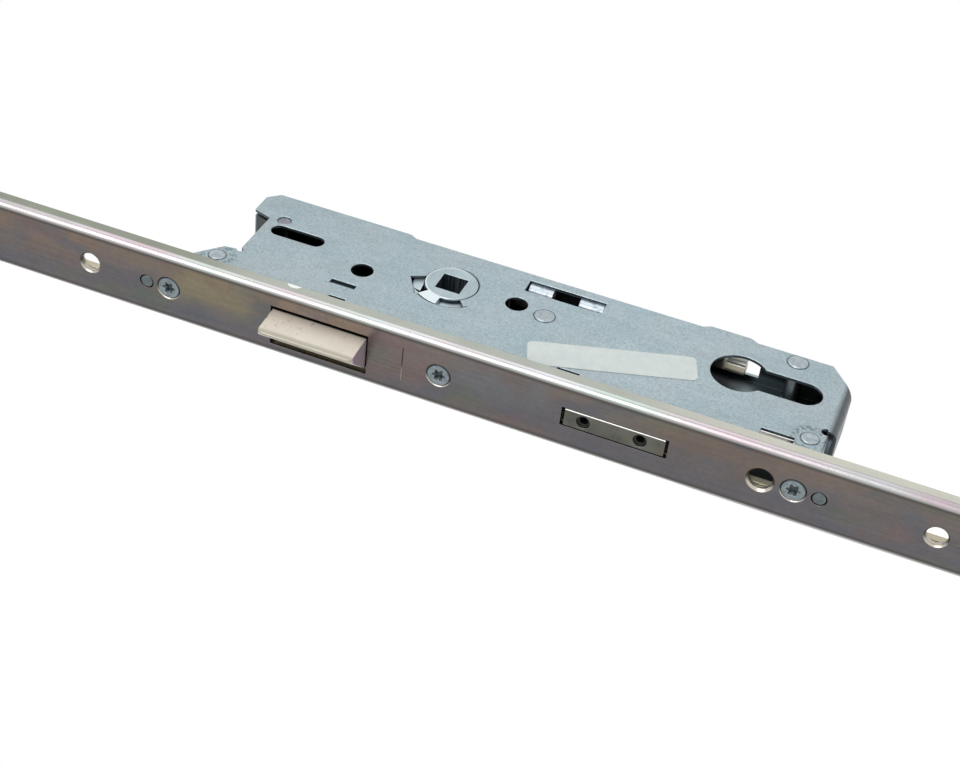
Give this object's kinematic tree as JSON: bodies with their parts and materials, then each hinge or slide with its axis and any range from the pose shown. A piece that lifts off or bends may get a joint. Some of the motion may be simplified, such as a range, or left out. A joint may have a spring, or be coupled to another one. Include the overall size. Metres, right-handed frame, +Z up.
{
  "type": "multipoint door lock",
  "caption": "Central lock case of a multipoint door lock on a U-section faceplate rail, with latch, deadbolt, spindle hub, cylinder cut-out and drive rod.",
  "frame": {"origin": "on the spindle axis, midway through the thickness of the lock case", "axes": "+X from the faceplate into the door, +Y through the case away from the cover plate, +Z up along the faceplate rail"},
  "size_m": [0.0648, 0.024, 0.352],
  "materials": {
    "galvanised_sheet": "galvanised",
    "passivated_rail": "yellow passivated zinc",
    "zinc_fixings": "zinc plated",
    "zinc_casting": "die cast zinc",
    "label_film": "blank film",
    "nickel": "nickel plated",
    "passivated_steel": "yellow passivated zinc",
    "spring_steel": "hardened",
    "bolt_steel": "ground steel"
  },
  "bodies": {
    "case": {"rear_case_shell": "galvanised_sheet", "cover_plate": "galvanised_sheet", "faceplate_rail": "passivated_rail", "case_screws": "zinc_fixings", "flush_rivets": "zinc_fixings", "upper_fixing_block": "zinc_casting", "middle_fixing_block": "zinc_casting", "lower_fixing_block": "zinc_casting", "spacing_posts": "zinc_fixings", "gear_arbor": "zinc_fixings", "spring_stop": "galvanised_sheet", "bar_guide_pins": "zinc_fixings", "lever_pivot": "zinc_fixings", "blank_label": "label_film"},
    "latch": {"latch_bolt": "nickel", "latch_tail": "passivated_steel", "latch_tail_rivet": "zinc_fixings", "latch_spring_guide": "zinc_fixings", "latch_spring": "spring_steel"},
    "hub": {"spindle_hub": "zinc_casting"},
    "lever": {"latch_lever": "passivated_steel"},
    "change_bar": {"change_bar": "passivated_steel"},
    "drive": {"drive_rod": "passivated_steel", "lock_slide": "passivated_steel"},
    "deadbolt": {"deadbolt": "bolt_steel", "deadbolt_drive_pin": "zinc_fixings", "deadbolt_hard_pins": "spring_steel"},
    "gear": {"rack_gear": "passivated_steel", "cam_wheel": "passivated_steel", "gear_rivets": "zinc_fixings"}
  },
  "joints": [
    {"name": "latch_slide", "type": "slide", "parent": "case", "child": "latch", "axis": [1, 0, 0], "range_m": [0, 0.0112], "stiffness_N_per_m": 300, "springref_m": -0.012, "deforming": ["latch_spring"]},
    {"name": "hub_turn", "type": "hinge", "parent": "case", "child": "hub", "pos_m": [0, 0, 0], "axis": [0, -1, 0], "range_deg": [0, 40.1]},
    {"name": "lever_turn", "type": "hinge", "parent": "case", "child": "lever", "pos_m": [0, 0, 0.041], "axis": [0, -1, 0], "range_deg": [0, 40.1]},
    {"name": "change_bar_slide", "type": "slide", "parent": "case", "child": "change_bar", "axis": [0, 0, 1], "range_m": [0, 0.0086]},
    {"name": "drive_slide", "type": "slide", "parent": "case", "child": "drive", "axis": [0, 0, 1], "range_m": [0, 0.02]},
    {"name": "deadbolt_slide", "type": "slide", "parent": "case", "child": "deadbolt", "axis": [-1, 0, 0], "range_m": [0, 0.02]},
    {"name": "gear_turn", "type": "hinge", "parent": "case", "child": "gear", "pos_m": [-0.003, 0, -0.0726], "axis": [0, 1, 0], "range_deg": [0, 127.4]}
  ],
  "couplings": [
    {"joint": "hub_turn", "follows": "latch_slide", "rad_per_m": 62.333},
    {"joint": "lever_turn", "follows": "latch_slide", "rad_per_m": 62.333},
    {"joint": "change_bar_slide", "follows": "latch_slide", "ratio": 0.75733},
    {"joint": "deadbolt_slide", "follows": "drive_slide", "ratio": 1},
    {"joint": "gear_turn", "follows": "drive_slide", "rad_per_m": 111.11}
  ]
}
